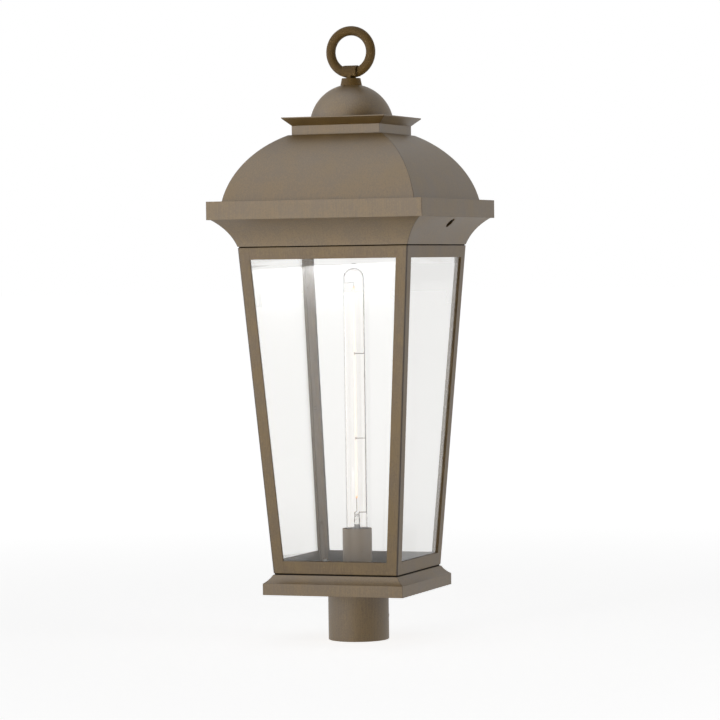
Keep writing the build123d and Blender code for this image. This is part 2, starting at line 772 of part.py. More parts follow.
# ---- The whole lantern
def lantern():
    pieces = {
        "fitter_tube": fitter_tube(),
        "fitter_flange": fitter_flange(),
        "fitter_screws": fitter_screws(),
        "base_moulding": base_moulding(),
        "base_plate": base_plate(),
        "floor_pan": floor_pan(),
        "cage_screws": cage_screws(),
        "glass_retainer_screws": glass_retainer_screws(),
        "socket_cover": socket_cover(),
        "lampholder_body": lampholder_body(),
        "lampholder_shell": lampholder_shell(),
        "lampholder_contact": lampholder_contact(),
        "socket_nipple": socket_nipple(),
        "nipple_nut": nipple_nut(),
        "lamp_tip": lamp_tip(),
        "lamp_insulator": lamp_insulator(),
        "lamp_base_shell": lamp_base_shell(),
        "lamp_glass": lamp_glass(),
        "lamp_stem": lamp_stem(),
        "lamp_filaments": lamp_filaments(),
        "lamp_wires": lamp_wires(),
        "roof_skirt": roof_skirt(),
        "crown_collar": crown_collar(),
        "crown_eave": crown_eave(),
        "crown_crossbar": crown_crossbar(),
        "cap_dome": cap_dome(),
        "finial_neck": finial_neck(),
        "finial_strap": finial_strap(),
        "finial_rod": finial_rod(),
        "finial_nut": finial_nut(),
        "finial_ring": finial_ring(),
        "roof_lock_screw_left": lock_screw(-LOCK_X),
        "roof_lock_screw_right": lock_screw(LOCK_X),
    }
    for side, degrees in SET_SCREW_ANGLES.items():
        pieces[f"post_set_screw_{side}"] = set_screw(degrees)
    post, retainer = corner_post(), glass_retainer()
    for corner, degrees in CORNERS.items():
        pieces[f"corner_post_{corner}"] = turned(post, degrees)
    pieces["glass_retainers"] = Compound([turned(retainer, degrees) for degrees in CORNERS.values()])
    repeated = {
        "bottom_rail": low_rail(),
        "top_rail": top_rail(),
        "glass_pane": glass_pane(),
        "roof_panel": roof_panel(),
        "cornice": cornice(),
    }
    for name, solid in repeated.items():
        for side, degrees in SIDES.items():
            pieces[f"{name}_{side}"] = turned(solid, degrees)
    pieces["top_rail_rear"] = rear_top_rail()
    pieces["cornice_right"] = vented_cornice()
    return pieces


os.makedirs("parts", exist_ok=True)
for node, shape in lantern().items():
    export_step(shape, f"parts/{node}.step")
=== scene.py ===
"""Looks and studio of a square post top lantern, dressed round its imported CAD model.

Everything is in metres, +Z up, with the front towards -Y and the origin at the centre of the
fitter's open lower rim, as in the CAD. Sizes given in millimetres are multiplied by MM.
"""

import logging
import math
from collections.abc import Sequence
from dataclasses import dataclass, field
from enum import Enum
from typing import Any, Union

import bmesh
import bpy
from mathutils import Matrix, Vector


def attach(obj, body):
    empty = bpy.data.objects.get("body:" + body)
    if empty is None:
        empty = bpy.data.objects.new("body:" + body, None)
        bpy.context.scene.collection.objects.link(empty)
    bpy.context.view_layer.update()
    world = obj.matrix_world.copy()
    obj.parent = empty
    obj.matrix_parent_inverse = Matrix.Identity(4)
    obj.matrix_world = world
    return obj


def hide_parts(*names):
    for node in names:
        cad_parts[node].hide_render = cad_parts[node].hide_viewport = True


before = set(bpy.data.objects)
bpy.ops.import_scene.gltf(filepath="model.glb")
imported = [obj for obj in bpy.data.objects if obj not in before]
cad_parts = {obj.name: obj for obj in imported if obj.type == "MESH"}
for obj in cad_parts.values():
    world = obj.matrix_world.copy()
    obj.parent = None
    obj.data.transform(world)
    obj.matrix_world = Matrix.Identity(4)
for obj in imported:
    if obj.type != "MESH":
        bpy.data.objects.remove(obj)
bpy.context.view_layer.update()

LOG = logging.getLogger("lantern")
MM = 0.001
SAME_POINT = 0.001 * MM
SIDES = ("front", "right", "rear", "left")
CORNERS = {"front_right": 0, "rear_right": 90, "rear_left": 180, "front_left": 270}

Colour = tuple[float, float, float]
Place = tuple[float, float, float]
Point = tuple[float, float]
Sockets = dict[int | str, Any]
Number = Union[float, "Signal"]


# ---- Shader maths
class Signal:
    """An output socket that adds Math nodes to its tree when an expression uses it."""

    def __init__(self, tree: "Nodes", socket: bpy.types.NodeSocket) -> None:
        """Hold the socket and the tree that it belongs to."""
        self.tree = tree
        self.socket = socket

    def math(self, operation: str, *values: Number) -> "Signal":
        """Add one Math node.

        Args:
            operation: The node's operation.
            values: Its inputs, in order.

        Returns:
            The node's result.
        """
        return self.tree.add("ShaderNodeMath", {"operation": operation}, dict(enumerate(values)))

    def __add__(self, other: Number) -> "Signal":
        """Give self + other."""
        return self.math("ADD", self, other)

    def __sub__(self, other: Number) -> "Signal":
        """Give self - other."""
        return self.math("SUBTRACT", self, other)

    def __rsub__(self, other: Number) -> "Signal":
        """Give other - self."""
        return self.math("SUBTRACT", other, self)

    def __mul__(self, other: Number) -> "Signal":
        """Give self * other."""
        return self.math("MULTIPLY", self, other)

    def __abs__(self) -> "Signal":
        """Give the size of self without its sign."""
        return self.math("ABSOLUTE", self)

    def maximum(self, other: Number) -> "Signal":
        """Give the larger of self and other."""
        return self.math("MAXIMUM", self, other)

    def above(self, level: float) -> "Signal":
        """Give 1 where self is more than a level, and 0 elsewhere."""
        return self.math("GREATER_THAN", self, level)

    def sibling(self, output: str) -> "Signal":
        """Give another output of the same node."""
        return Signal(self.tree, self.socket.node.outputs[output])

    __radd__ = __add__
    __rmul__ = __mul__


class Nodes:
    """A shader node tree, with one method that adds any kind of node."""

    def __init__(self, tree: bpy.types.NodeTree) -> None:
        """Take over a tree and empty it."""
        self.tree = tree
        self.tree.nodes.clear()

    def add(
        self,
        kind: str,
        settings: dict[str, Any] | None = None,
        inputs: Sockets | None = None,
        output: int | str = 0,
    ) -> Signal:
        """Add one node.

        Args:
            kind: The node's type.
            settings: Its properties, set before its sockets.
            inputs: A value or a signal for each socket, by name or number.
            output: The output socket to hand back.

        Returns:
            The chosen output, or the first input of a node that has no output.
        """
        node = self.tree.nodes.new(kind)
        for name, value in (settings or {}).items():
            setattr(node, name, value)
        for name, value in (inputs or {}).items():
            if isinstance(value, Signal):
                self.tree.links.new(value.socket, node.inputs[name])
            else:
                node.inputs[name].default_value = value
        return Signal(self, node.outputs[output] if node.outputs else node.inputs[0])

    def place(self) -> Signal:
        """Give the Object coordinates."""
        return self.add("ShaderNodeTexCoord", output="Object")

    def noise(self, place: Signal, size: float, detail: float = 2.0, spread: float = 0.5) -> Signal:
        """Add a noise texture.

        Args:
            place: The coordinates it reads.
            size: The width of its features in metres.
            detail: How many finer layers it has.
            spread: How strong those layers are.

        Returns:
            A value that lies round one half.
        """
        inputs = {"Vector": place, "Scale": 1 / size, "Detail": detail, "Roughness": spread}
        return self.add("ShaderNodeTexNoise", {"noise_dimensions": "3D"}, inputs)

    def remap(self, value: Signal, from_ends: Point, to_ends: Point = (0.0, 1.0)) -> Signal:
        """Ease a value from one range to another, held at its ends.

        Args:
            value: The value.
            from_ends: Where the change starts and ends.
            to_ends: What it gives there.

        Returns:
            The eased value.
        """
        ends = {"Value": value, "From Min": from_ends[0], "From Max": from_ends[1]}
        ends |= {"To Min": to_ends[0], "To Max": to_ends[1]}
        return self.add("ShaderNodeMapRange", {"interpolation_type": "SMOOTHSTEP"}, ends)

    def mix(self, share: Number, first: Any, second: Any) -> Signal:
        """Mix two colours.

        Args:
            share: The share of the second one.
            first: A colour or a signal.
            second: A colour or a signal.

        Returns:
            The mixed colour.
        """
        first, second = (c if isinstance(c, Signal) else (*c, 1.0) for c in (first, second))
        inputs = {0: share, 6: first, 7: second}
        return self.add("ShaderNodeMix", {"data_type": "RGBA"}, inputs, output=2)

    def vectors(self, operation: str, inputs: Sockets, output: str = "Vector") -> Signal:
        """Add one Vector Math node.

        Args:
            operation: The node's operation.
            inputs: A value or a signal for each socket, by name or number.
            output: "Vector", or "Value" for a length or a dot product.

        Returns:
            The chosen output.
        """
        return self.add("ShaderNodeVectorMath", {"operation": operation}, inputs, output)

    def along(self, place: Signal, way: Place) -> Signal:
        """Give how far a place lies along a direction."""
        return self.vectors("DOT_PRODUCT", {0: place, 1: way}, "Value")

    def bump(
        self, height_mm: Signal, strength: float = 0.5, normal: Signal | None = None
    ) -> Signal:
        """Add a Bump node.

        Args:
            height_mm: The height in millimetres.
            strength: How much of it shows.
            normal: The normal that it starts from.

        Returns:
            The bumped normal.
        """
        inputs: Sockets = {"Strength": strength, "Distance": MM, "Height": height_mm}
        if normal is not None:
            inputs["Normal"] = normal
        return self.add("ShaderNodeBump", inputs=inputs)

    def finish(self, surface: Signal) -> None:
        """Send a shader to the material's output."""
        self.add("ShaderNodeOutputMaterial", inputs={"Surface": surface})

    def finish_with(self, inputs: Sockets) -> None:
        """Send a Principled shader that has these inputs to the material's output."""
        self.finish(self.add("ShaderNodeBsdfPrincipled", inputs=inputs))


def new_material(name: str) -> tuple[bpy.types.Material, Nodes]:
    """Make an empty material.

    Args:
        name: Its name.

    Returns:
        The material and its node tree.
    """
    material = bpy.data.materials.new(name)
    material.use_nodes = True
    return material, Nodes(material.node_tree)


# ---- Finishes
@dataclass(frozen=True)
class PowderCoat:
    """Satin powder coat on sheet metal: a fine speckle, faint clouds, softened edges, and painted
    shade on mitre lines and on rims in shadow gaps where it is asked for.
    """

    name: str
    light: Colour = (0.176, 0.104, 0.022)
    dark: Colour = (0.124, 0.067, 0.009)
    # Painted shade: the colour that darkens the mitre groove, and the wide band at the posts'
    # corners.
    seam_shade_colour: Colour = (0.030, 0.015, 0.004)
    roughness: float = 0.45
    speckle_size: float = 1.8 * MM
    streak_size: float = 1.4 * MM
    streak_squash: float = 0.05
    cloud_size: float = 38 * MM
    grain_size: float = 0.35 * MM
    speckle_share: float = 0.4
    streak_share: float = 0.3
    cloud_share: float = 0.3
    tone_ends: Point = (0.42, 0.58)
    shade_swing: float = 0.22
    cloud_dulling: float = 0.12
    streak_dulling: float = 0.16
    speckle_mm: float = 0.05
    grain_mm: float = 0.012
    bump_strength: float = 0.55
    edge_radius: float = 0.7 * MM
    gloss: float = 1.0
    ior: float = 1.6
    mitred: bool = False
    seam_half_width: float = 0.25 * MM
    seam_fade: float = 0.45 * MM
    seam_shade_share: float = 0.65
    seam_mm: float = 0.18
    # Painted shade: past this half width the coat turns dark and loses its gloss, to darken a rim
    # that stands in a shadow gap.
    shaded_rim_from: float = 0.0
    shaded_rim_darkness: float = 0.92

    def material(self) -> bpy.types.Material:
        """Build the material.

        Returns:
            The material, with the mitre line of square mouldings, a groove darkened by painted
            shade, where it is asked for, and painted shade on a rim that stands in a shadow gap.
        """
        made, nodes = new_material(self.name)
        place = nodes.place()
        speckle = nodes.noise(place, self.speckle_size, detail=3.0, spread=0.7)
        clouds = nodes.noise(place, self.cloud_size, detail=4.0)
        grain = nodes.noise(place, self.grain_size, detail=1.0)
        upright = nodes.vectors("MULTIPLY", {0: place, 1: (1.0, 1.0, self.streak_squash)})
        streaks = nodes.noise(upright, self.streak_size, detail=3.0, spread=0.6)
        marks = speckle * self.speckle_share + streaks * self.streak_share
        tone = nodes.remap(marks + clouds * self.cloud_share, self.tone_ends)
        colour = nodes.mix(tone, self.dark, self.light)
        height = speckle * self.speckle_mm + grain * self.grain_mm
        edge = nodes.add("ShaderNodeBevel", {"samples": 4}, {"Radius": self.edge_radius})
        shade = clouds * self.shade_swing + (1 - self.shade_swing / 2)
        dulling = clouds * self.cloud_dulling + streaks * self.streak_dulling
        roughness = dulling + (self.roughness - (self.cloud_dulling + self.streak_dulling) / 2)
        across, deep = self.plan_distances(nodes, place)
        # Painted shade along the mitre line, over a real bumped groove.
        if self.mitred:
            seam_ends = (self.seam_half_width, self.seam_half_width + self.seam_fade)
            groove_and_shade = nodes.remap(abs(across - deep), seam_ends, (1.0, 0.0))
            colour = nodes.mix(groove_and_shade * self.seam_shade_share, colour, self.seam_shade_colour)
            height = height - groove_and_shade * self.seam_mm
        # Painted shade on the rim that stands in a shadow gap: darker and without gloss.
        if self.shaded_rim_from:
            shaded_rim = across.maximum(deep).above(self.shaded_rim_from)
            shade = shade * (1 - shaded_rim * self.shaded_rim_darkness)
            roughness = roughness.maximum(shaded_rim)
        nodes.finish_with({
            "Base Color": nodes.vectors("SCALE", {0: colour, "Scale": shade}),
            "Roughness": roughness,
            "Specular IOR Level": self.gloss,
            "IOR": self.ior,
            "Normal": nodes.bump(height, self.bump_strength, edge),
        })
        return made

    @staticmethod
    def plan_distances(nodes: Nodes, place: Signal) -> tuple[Signal, Signal]:
        """Give the distances from the two middle planes, which are equal on a mitre line."""
        split = nodes.add("ShaderNodeSeparateXYZ", inputs={0: place})
        return abs(split), abs(split.sibling("Y"))


@dataclass(frozen=True)
class Moulding:
    """Glazed, moulded or fused stuff, a little mottled in its colour and gloss."""

    name: str
    colour: Colour
    shaded: Colour
    roughness: float
    mottle_size: float = 6 * MM
    mottle_ends: Point = (0.35, 0.7)
    mottle_mm: float = 0.03
    detail: float = 4.0
    spread: float = 0.5
    dulling: float = 0.12
    bump_strength: float = 0.5
    metallic: float = 0.0

    def material(self) -> bpy.types.Material:
        """Build the material.

        Returns:
            The material.
        """
        made, nodes = new_material(self.name)
        mottle = nodes.noise(nodes.place(), self.mottle_size, self.detail, self.spread)
        share = nodes.remap(mottle, self.mottle_ends)
        nodes.finish_with({
            "Base Color": nodes.mix(share, self.colour, self.shaded),
            "Metallic": self.metallic,
            "Roughness": share * self.dulling + self.roughness,
            "Normal": nodes.bump(mottle * self.mottle_mm, self.bump_strength),
        })
        return made


@dataclass(frozen=True)
class Metal(Moulding):
    """Bare or plated metal, mottled by fine wear."""

    mottle_size: float = 2.5 * MM
    mottle_ends: Point = (0.42, 0.68)
    mottle_mm: float = 0.01
    detail: float = 5.0
    spread: float = 0.65
    dulling: float = 0.18
    bump_strength: float = 0.6
    metallic: float = 1.0


@dataclass(frozen=True)
class ClearGlass:
    """Clear glass that lets the lamps through, with a faint wave and a trace of dust."""

    name: str
    tint: Colour
    ior: float = 1.5
    wave_size: float = 70 * MM
    wave_mm: float = 0.02
    dust_size: float = 9 * MM
    dust_ends: Point = (0.55, 0.8)
    dust_roughness: float = 0.02

    def material(self) -> bpy.types.Material:
        """Build the material.

        Returns:
            The material.
        """
        made, nodes = new_material(self.name)
        place = nodes.place()
        wave = nodes.noise(place, self.wave_size, detail=1.0)
        dust = nodes.noise(place, self.dust_size, detail=4.0, spread=0.7)
        tint = (*self.tint, 1.0)
        inputs = {
            "Base Color": tint,
            "Roughness": nodes.remap(dust, self.dust_ends, (0.0, self.dust_roughness)),
            "IOR": self.ior,
            "Transmission Weight": 1.0,
            "Normal": nodes.bump(wave * self.wave_mm),
        }
        glass = nodes.add("ShaderNodeBsdfPrincipled", inputs=inputs)
        through = nodes.add("ShaderNodeBsdfTransparent", inputs={0: tint})
        shadow = nodes.add("ShaderNodeLightPath", output="Is Shadow Ray")
        nodes.finish(nodes.add("ShaderNodeMixShader", inputs={0: shadow, 1: glass, 2: through}))
        return made


@dataclass(frozen=True)
class GlowingRod:
    """A coated filament that glows pale, warmer at its edges and orange at the lamp's two ends."""

    name: str
    core: Colour = (1.0, 0.93, 0.84)
    rim: Colour = (1.0, 0.62, 0.42)
    tip: Colour = (0.95, 0.36, 0.12)
    middle: float = 336 * MM
    tip_ends: Point = (138 * MM, 144 * MM)
    rim_blend: float = 0.35
    roughness: float = 0.5
    dulling: float = 0.2
    grain_size: float = 1.2 * MM
    grain_share: float = 0.4
    grain_mm: float = 0.05
    glow_strength: float = 0.75

    def material(self) -> bpy.types.Material:
        """Build the material.

        Returns:
            The material.
        """
        made, nodes = new_material(self.name)
        place = nodes.place()
        grain = nodes.noise(place, self.grain_size)
        edge = nodes.add("ShaderNodeLayerWeight", inputs={"Blend": self.rim_blend}, output="Facing")
        height = nodes.add("ShaderNodeSeparateXYZ", inputs={0: place}, output="Z")
        ends = nodes.remap(abs(height - self.middle), self.tip_ends)
        colour = nodes.mix(edge.maximum(grain * self.grain_share), self.core, self.rim)
        colour = nodes.mix(ends, colour, self.tip)
        nodes.finish_with({
            "Base Color": colour,
            "Roughness": grain * self.dulling + self.roughness,
            "Normal": nodes.bump(grain * self.grain_mm),
            "Emission Color": colour,
            "Emission Strength": self.glow_strength,
        })
        return made


class Finish(Enum):
    """The lantern's finishes. Each knows the record's slot that it dresses."""

    COAT = ("bronze_coat", PowderCoat("bronze_coat_plain"))
    # Mitred coats carry painted shade along their mitre lines.
    MITRED_COAT = ("bronze_coat", PowderCoat("bronze_coat_mitred", mitred=True))
    # Painted shade: a wide dark band along the posts' outer corners and the rails' mitres.
    CAGE_COAT = (
        "bronze_coat",
        PowderCoat("bronze_coat_bent", gloss=0.75, edge_radius=1.2 * MM, mitred=True,
                   seam_half_width=0.7 * MM, seam_fade=2.2 * MM, seam_shade_share=0.85),
    )
    CAST_COAT = (
        "bronze_coat",
        PowderCoat("bronze_coat_cast", (0.160, 0.090, 0.018), (0.100, 0.053, 0.008), roughness=0.6,
                   gloss=0.35, speckle_size=1.2 * MM, streak_squash=1.0),
    )
    # Painted shade on the floor pan's rim, in the shadow gap under the cage.
    FLOOR_COAT = (
        "bronze_coat",
        PowderCoat("floor_pan_with_shaded_rim", gloss=0.6, shaded_rim_from=86.9 * MM),
    )
    # Painted shade on the seat's rim, in the shadow gap under the cornice.
    SEAT_COAT = (
        "bronze_coat",
        PowderCoat("roof_seat_with_shaded_rim", gloss=0.3, shaded_rim_from=118.8 * MM),
    )
    SCREW_COAT = (
        "bronze_screw",
        PowderCoat("bronze_screw_coat", edge_radius=0.25 * MM, speckle_size=0.8 * MM),
    )
    ZINC = ("zinc_steel", Metal("zinc_plate", (0.56, 0.56, 0.54), (0.4, 0.39, 0.37), 0.32))
    BRASS = ("brass", Metal("bare_brass", (0.78, 0.58, 0.28), (0.55, 0.38, 0.17), 0.25))
    NICKEL = ("lamp_base", Metal("nickel_shell", (0.72, 0.69, 0.64), (0.55, 0.52, 0.47), 0.2))
    SOLDER = ("lamp_solder", Metal("solder_tip", (0.6, 0.6, 0.6), (0.4, 0.4, 0.42), 0.35, 1.2 * MM))
    WIRE = (
        "lamp_wire",
        Metal("plain_wire", (0.12, 0.085, 0.06), (0.07, 0.05, 0.035), 0.4, 1.0 * MM),
    )
    PANE = ("pane_glass", ClearGlass("bevelled_pane_glass", (0.905, 0.902, 0.892)))
    LAMP_GLASS = ("lamp_glass", ClearGlass("lamp_tube_glass", (0.975, 0.965, 0.955), wave_mm=0.0))
    STEM = ("lamp_stem", ClearGlass("pressed_stem_glass", (0.98, 0.98, 0.97), 1.45, 5 * MM, 0.03))
    PORCELAIN = ("lampholder", Moulding("white_glaze", (0.84, 0.83, 0.8), (0.76, 0.74, 0.7), 0.18))
    BLACK_GLASS = (
        "lamp_insulator",
        Moulding("black_insulator", (0.03, 0.03, 0.035), (0.06, 0.05, 0.06), 0.12, 3 * MM),
    )
    FILAMENT = ("filament", GlowingRod("coated_filament"))

    @property
    def slot(self) -> str:
        """Give the record's slot."""
        return self.value[0]


class Paintbox:
    """Makes each finish once and puts it on pieces."""

    def __init__(self) -> None:
        """Start with nothing mixed."""
        self.mixed: dict[Finish, bpy.types.Material] = {}

    def material(self, finish: Finish) -> bpy.types.Material:
        """Mix a finish the first time it is asked for.

        Args:
            finish: The finish.

        Returns:
            Its material.
        """
        if finish not in self.mixed:
            self.mixed[finish] = finish.value[1].material()
        return self.mixed[finish]

    def dress_nodes(self, finish: Finish, *nodes: str) -> None:
        """Put a finish on CAD nodes.

        Args:
            finish: The finish.
            nodes: The nodes' names.
        """
        for name in nodes:
            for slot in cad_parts[name].material_slots:
                slot.material = self.material(finish)
            LOG.info("dressed %s in %s", name, finish.name.lower())


PAINT = Paintbox()


# ---- Mesh making
def add_object(name: str, data: bpy.types.ID) -> bpy.types.Object:
    """Put a new object in the scene.

    Args:
        name: Its name.
        data: Its mesh, light or camera.

    Returns:
        The object.
    """
    made = bpy.data.objects.new(name, data)
    bpy.context.scene.collection.objects.link(made)
    return made


def eased(share: float) -> float:
    """Hold a share between 0 and 1, with a soft start and end."""
    share = min(1.0, max(0.0, share))
    return share * share * (3 - 2 * share)


def rounded_wave(angle: float) -> float:
    """Give a smooth wave from 0 to 1 and back over one turn of the angle."""
    return 0.5 - 0.5 * math.cos(angle)


def turned(degrees: float) -> Matrix:
    """Give a turn about the z axis."""
    return Matrix.Rotation(math.radians(degrees), 4, "Z")


def standing(place: Place, up: Place) -> Matrix:
    """Give the matrix that puts a piece at a point with its z axis along a direction."""
    return Matrix.Translation(place) @ Vector(up).to_track_quat("Z", "Y").to_matrix().to_4x4()


def four_round(place: Matrix, first: float = 0.0) -> list[Matrix]:
    """Turn a place about the z axis to four corners, the first of them at some degrees."""
    return [turned(first + degrees) @ place for degrees in CORNERS.values()]


@dataclass
class Piece:
    """A new mesh piece while it is being made, and how it joins the scene."""

    name: str
    finish: Finish
    body: str
    mesh: bmesh.types.BMesh = field(default_factory=bmesh.new)

    def lathe(self, outline: Sequence[Point], steps: int, closed: bool = True) -> None:
        """Turn an outline about the z axis.

        Args:
            outline: Points of (radius, height) in metres.
            steps: How many steps the turn has.
            closed: Whether the outline joins its last point to its first.
        """
        points = [self.mesh.verts.new((radius, 0.0, height)) for radius, height in outline]
        pairs = list(zip(points, points[1:])) + ([(points[-1], points[0])] if closed else [])
        edges = [self.mesh.edges.new(pair) for pair in pairs]
        bmesh.ops.spin(
            self.mesh, geom=points + edges, cent=(0, 0, 0), axis=(0, 0, 1), dvec=(0, 0, 0),
            angle=math.tau, steps=steps, use_merge=True,
        )
        bmesh.ops.remove_doubles(self.mesh, verts=self.mesh.verts[:], dist=SAME_POINT)

    def turn(self, degrees: float) -> None:
        """Turn the whole piece about the z axis."""
        bmesh.ops.transform(self.mesh, matrix=turned(degrees), verts=self.mesh.verts[:])

    def join(self, other: bmesh.types.BMesh, places: Sequence[Matrix]) -> None:
        """Add copies of another mesh, and free it.

        Args:
            other: The mesh to copy.
            places: Where each copy goes.
        """
        data = bpy.data.meshes.new("copy")
        other.to_mesh(data)
        other.free()
        for place in places:
            before = len(self.mesh.verts)
            self.mesh.from_mesh(data)
            self.mesh.verts.ensure_lookup_table()
            bmesh.ops.transform(self.mesh, matrix=place, verts=self.mesh.verts[before:])
        bpy.data.meshes.remove(data)

    def finish_up(self, replaced: Sequence[str] = (), smooth_below: float = 40.0) -> None:
        """Make the object and join it to the frame.

        Args:
            replaced: The CAD nodes that it stands for.
            smooth_below: Edges that bend by fewer degrees than this are smooth.
        """
        bmesh.ops.recalc_face_normals(self.mesh, faces=self.mesh.faces[:])
        limit = math.radians(smooth_below)
        for face in self.mesh.faces:
            face.smooth = True
        for edge in self.mesh.edges:
            edge.smooth = edge.calc_face_angle(0.0) < limit
        data = bpy.data.meshes.new(self.name)
        self.mesh.to_mesh(data)
        self.mesh.free()
        made = add_object(self.name, data)
        data.materials.append(PAINT.material(self.finish))
        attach(made, self.body)
        if replaced:
            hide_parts(*replaced)
        LOG.info("made %s with %d faces", self.name, len(data.polygons))


@dataclass(frozen=True)
class RolledThread:
    """A thread rolled into thin sheet, as on a lamp's base and in its holder."""

    low: float
    high: float
    crest: float
    depth: float
    wall: float
    pitch: float = 3.63 * MM
    run_out: float = 2.2 * MM
    rings_per_pitch: int = 10
    steps: int = 72
    rolled_walls: float = 1.5

    def radius(self, height: float, angle: float) -> float:
        """Find the outer radius of the thread.

        Args:
            height: The height.
            angle: The angle about the axis.

        Returns:
            The radius, which runs out to the plain crest at both ends.
        """
        from_end = min(height - self.low, self.high - height)
        turn = math.tau * height / self.pitch - angle
        return self.crest - self.depth * rounded_wave(turn) * eased(from_end / self.run_out)

    def build(self, piece: Piece, ends: Sequence[Point] = ()) -> None:
        """Turn the shell and roll the thread into it.

        Args:
            piece: The piece that it goes in.
            ends: Points that close the outline at its low end, from inside to outside. Those
                well inside the wall stay as they are.
        """
        count = round((self.high - self.low) / self.pitch * self.rings_per_pitch)
        heights = [self.low + (self.high - self.low) * i / count for i in range(count + 1)]
        outside = [(self.crest, z) for z in heights]
        inside = [(self.crest - self.wall, z) for z in reversed(heights)]
        piece.lathe(outside + inside + list(ends), self.steps)
        for vert in piece.mesh.verts:
            radius = math.hypot(vert.co.x, vert.co.y)
            if radius < self.crest - self.rolled_walls * self.wall:
                continue
            angle = math.atan2(vert.co.y, vert.co.x)
            rolled = self.radius(vert.co.z, angle) - (self.crest - radius)
            vert.co.x *= rolled / radius
            vert.co.y *= rolled / radius


@dataclass(frozen=True)
class Screw:
    """A domed cross-head screw whose head stands on z = 0 and whose shank runs down.

    The head's profile is in shares of its radius and height, from its crown to its seat. Every
    third point of the recess's outline is drawn in, which leaves a cross.
    """

    head_radius: float
    head_height: float
    shank_radius: float
    shank_length: float
    head_profile: tuple[Point, ...] = ((0.72, 1.0), (0.9, 0.86), (1.0, 0.5), (1.0, 0.0))
    point_share: float = 0.5
    steps: int = 24
    recess_share: float = 0.5
    recess_points: int = 12
    recess_turn: float = 15.0
    recess_drawn_in: float = 0.366
    recess_taper: float = 0.7
    recess_depth: float = 0.6

    def build(self) -> bmesh.types.BMesh:
        """Build the screw.

        Returns:
            Its mesh.
        """
        mesh = bmesh.new()
        recess = self._recess(mesh)
        crown, *below = [(self.head_radius * r, self.head_height * z) for r, z in self.head_profile]
        verts = bmesh.ops.create_circle(mesh, segments=self.steps, radius=crown[0])["verts"]
        bmesh.ops.translate(mesh, vec=(0, 0, crown[1]), verts=verts)
        rim = self._edges_between(verts)
        bmesh.ops.bridge_loops(mesh, edges=rim + recess)
        point = self.shank_radius * self.point_share
        shank = [
            (self.shank_radius, 0.0),
            (self.shank_radius, point - self.shank_length),
            (point, -self.shank_length),
        ]
        for radius, height in below + shank:
            rim = self._step(mesh, rim, radius, height)
        bmesh.ops.holes_fill(mesh, edges=mesh.edges[:], sides=0)
        return mesh

    def _recess(self, mesh: bmesh.types.BMesh) -> list[bmesh.types.BMEdge]:
        """Start the recess.

        Args:
            mesh: The screw's mesh.

        Returns:
            The edges of its mouth.
        """
        radius = self.head_radius * self.recess_share
        mouth = bmesh.ops.create_circle(mesh, segments=self.recess_points, radius=radius)
        verts = mouth["verts"]
        bmesh.ops.transform(mesh, matrix=turned(self.recess_turn), verts=verts)
        for vert in verts:
            if abs(abs(vert.co.x) - abs(vert.co.y)) < SAME_POINT:
                vert.co.xy *= self.recess_drawn_in
        bmesh.ops.translate(mesh, vec=(0, 0, self.head_height), verts=verts)
        edges = self._edges_between(verts)
        floor = bmesh.ops.extrude_edge_only(mesh, edges=edges)["geom"]
        low = [g for g in floor if isinstance(g, bmesh.types.BMVert)]
        bmesh.ops.scale(mesh, vec=(self.recess_taper, self.recess_taper, 1.0), verts=low)
        bmesh.ops.translate(mesh, vec=(0, 0, -self.head_height * self.recess_depth), verts=low)
        bmesh.ops.contextual_create(mesh, geom=self._edges_between(low))
        return edges

    @staticmethod
    def _edges_between(verts: Sequence[bmesh.types.BMVert]) -> list[bmesh.types.BMEdge]:
        """Give the edges whose two ends are both among the vertices, always in the same order."""
        chosen = set(verts)
        return list(dict.fromkeys(e for v in verts for e in v.link_edges if set(e.verts) <= chosen))

    @staticmethod
    def _step(
        mesh: bmesh.types.BMesh, rim: list[bmesh.types.BMEdge], radius: float, height: float
    ) -> list[bmesh.types.BMEdge]:
        """Run the screw's side on to its next ring.

        Args:
            mesh: The screw's mesh.
            rim: The edges it goes on from.
            radius: The next ring's radius.
            height: The next ring's height.

        Returns:
            The next ring's edges.
        """
        made = bmesh.ops.extrude_edge_only(mesh, edges=rim)["geom"]
        for vert in (g for g in made if isinstance(g, bmesh.types.BMVert)):
            vert.co.xy = vert.co.xy.normalized() * radius
            vert.co.z = height
        return [g for g in made if isinstance(g, bmesh.types.BMEdge)]


def make_screws(
    name: str, finish: Finish, screw: Screw, places: Sequence[Matrix], replaced: str
) -> None:
    """Make a set of like screws in the lantern's body as one piece.

    Args:
        name: The piece's name.
        finish: Its finish.
        screw: The screw.
        places: Where each one goes.
        replaced: The CAD node that they stand for.
    """
    screws = Piece(name, finish, "lantern_body")
    screws.join(screw.build(), places)
    screws.finish_up([replaced])


